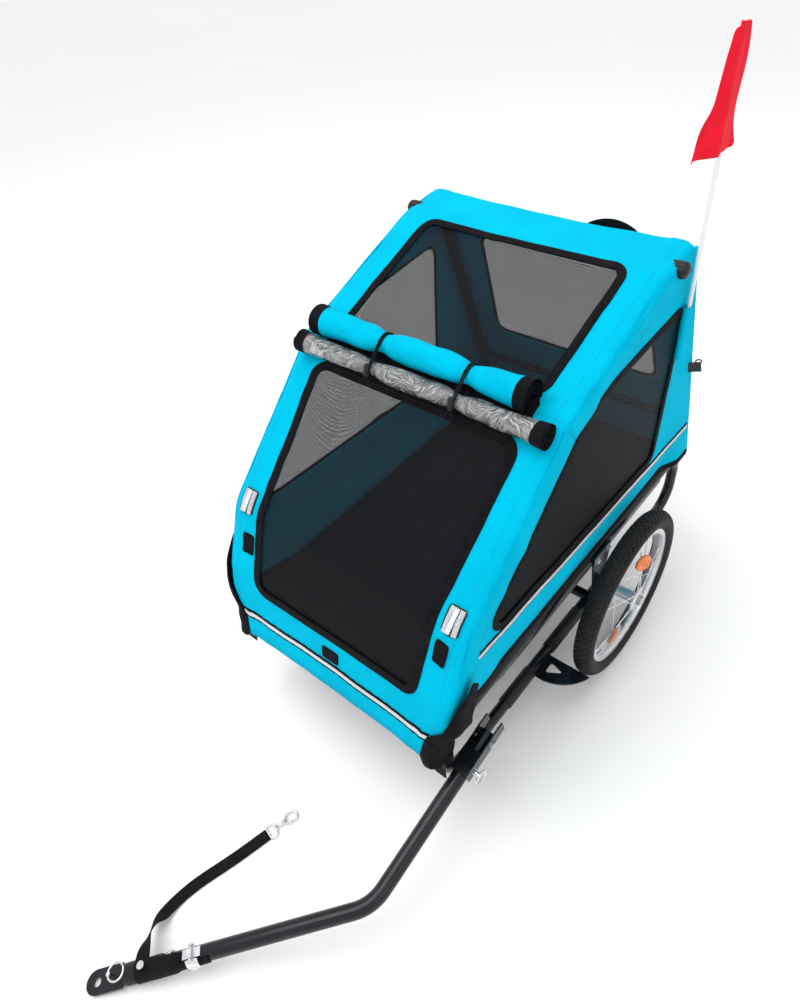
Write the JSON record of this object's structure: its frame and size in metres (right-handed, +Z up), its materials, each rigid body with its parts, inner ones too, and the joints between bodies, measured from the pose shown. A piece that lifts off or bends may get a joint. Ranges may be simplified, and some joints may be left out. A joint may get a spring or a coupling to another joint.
{
  "type": "dog bike trailer",
  "caption": "Two-wheeled folding dog trailer: fabric cabin with mesh windows on a tube base, side drawbar with a pinned hitch eye, safety strap and flag.",
  "frame": {"origin": "on the ground under the middle of the trailer's box", "axes": "+Z up, +Y to the rear along the trailer's length, +X to the trailer's left, where the drawbar and flag are"},
  "size_m": [0.7666, 1.629, 1.24],
  "materials": {
    "blue_fabric": "matte woven",
    "window_mesh": "open mesh",
    "frame_paint": "gloss black",
    "steel": "zinc plated",
    "spoke_chrome": "polished",
    "rim_alloy": "satin",
    "tyre_rubber": "matte",
    "black_plastic": "moulded",
    "orange_reflector": "prismatic",
    "white_reflector": "prismatic",
    "floor_board": "matte",
    "clear_vinyl": "clear film",
    "elastic": "braided",
    "webbing": "woven",
    "pole_white": "fibre glass",
    "pennant_red": "woven"
  },
  "bodies": {
    "chassis": {"side_loop_left": "frame_paint", "side_loop_right": "frame_paint", "rail_skirts": "rim_alloy", "floor_cross_tubes": "frame_paint", "axle_beam": "frame_paint", "floor_panel": "floor_board", "axle_bracket_left": "frame_paint", "axle_bracket_right": "frame_paint", "wheel_axles": "steel", "wheel_guard_left": "frame_paint", "wheel_guard_right": "frame_paint", "drawbar_channel": "frame_paint", "channel_inner_cheek": "frame_paint", "drawbar_pivot_bolt": "steel", "front_hinge_brackets": "frame_paint", "rear_hinge_brackets": "frame_paint", "hinge_pins": "steel", "side_panel_left": "blue_fabric", "side_panel_right": "blue_fabric", "side_window_left": "window_mesh", "side_window_right": "window_mesh", "rear_panel": "blue_fabric", "rear_window": "window_mesh"},
    "wheel_left": {"tyre_left": "tyre_rubber", "rim_left": "rim_alloy", "hub_left": "rim_alloy", "spokes_left": "spoke_chrome", "wheel_reflectors_left": "orange_reflector"},
    "wheel_right": {"tyre_right": "tyre_rubber", "rim_right": "rim_alloy", "hub_right": "rim_alloy", "spokes_right": "spoke_chrome", "wheel_reflectors_right": "orange_reflector"},
    "drawbar": {"drawbar_tube": "frame_paint", "drawbar_collar": "black_plastic", "hitch_tab": "frame_paint", "ring_plate": "steel", "strap_bolt": "steel", "safety_strap": "webbing", "snap_hook": "steel"},
    "lock_pin": {"drawbar_lock_pin": "steel"},
    "hitch_lock": {"hitch_pin": "steel"},
    "ring": {"tether_ring": "steel"},
    "front_hoop": {"hoop_tube_left": "frame_paint", "hoop_tube_right": "frame_paint", "hoop_cross_bars": "frame_paint", "front_panel": "blue_fabric", "roof_panel": "blue_fabric", "roof_window": "window_mesh", "corner_knobs": "black_plastic", "storm_cover_roll": "blue_fabric", "clear_cover_roll": "clear_vinyl", "roll_ties": "elastic", "front_reflectors": "white_reflector", "flag_sleeve": "black_plastic"},
    "door": {"front_door": "window_mesh"},
    "rear_frame": {"rear_posts": "frame_paint", "rear_brace": "frame_paint"},
    "flag": {"flag_pole": "pole_white", "flag_pennant": "pennant_red"}
  },
  "joints": [
    {"name": "wheel_left_spin", "type": "hinge", "parent": "chassis", "child": "wheel_left", "pos_m": [0.344, 0.40004, 0.2], "axis": [1, 0, 0], "continuous": true},
    {"name": "wheel_right_spin", "type": "hinge", "parent": "chassis", "child": "wheel_right", "pos_m": [-0.344, 0.40004, 0.2], "axis": [1, 0, 0], "continuous": true},
    {"name": "drawbar_fold", "type": "hinge", "parent": "chassis", "child": "drawbar", "pos_m": [0.293, -0.06996, 0.194], "axis": [1, 0, 0], "range_deg": [0, 135]},
    {"name": "hoop_fold", "type": "hinge", "parent": "chassis", "child": "front_hoop", "pos_m": [0, -0.14811, 0.33], "axis": [-1, 0, 0], "range_deg": [0, 36], "deforming": ["side_panel_left", "side_panel_right", "side_window_left", "side_window_right", "rear_panel", "rear_window"]},
    {"name": "rear_frame_fold", "type": "hinge", "parent": "chassis", "child": "rear_frame", "pos_m": [0, 0.77936, 0.318], "axis": [1, 0, 0], "range_deg": [0, 64]},
    {"name": "front_door_lift", "type": "hinge", "parent": "front_hoop", "child": "door", "pos_m": [0, 0.14061, 0.74875], "axis": [-1, 0, 0], "range_deg": [0, 75]},
    {"name": "flag_lift", "type": "slide", "parent": "front_hoop", "child": "flag", "axis": [0, 0, 1], "range_m": [0, 0.14]},
    {"name": "lock_pin_pull", "type": "slide", "parent": "drawbar", "child": "lock_pin", "axis": [1, 0, 0], "range_m": [0, 0.048]},
    {"name": "hitch_pin_pull", "type": "slide", "parent": "drawbar", "child": "hitch_lock", "axis": [-0.1321, -0.1493, 0.9799], "range_m": [0, 0.03]},
    {"name": "tether_ring_swing", "type": "hinge", "parent": "drawbar", "child": "ring", "pos_m": [0.07323, -0.65536, 0.06476], "axis": [-0.749, 0.6626, 0], "range_deg": [-80, 80]}
  ],
  "couplings": [
    {"joint": "rear_frame_fold", "follows": "hoop_fold", "ratio": 1.7778}
  ]
}
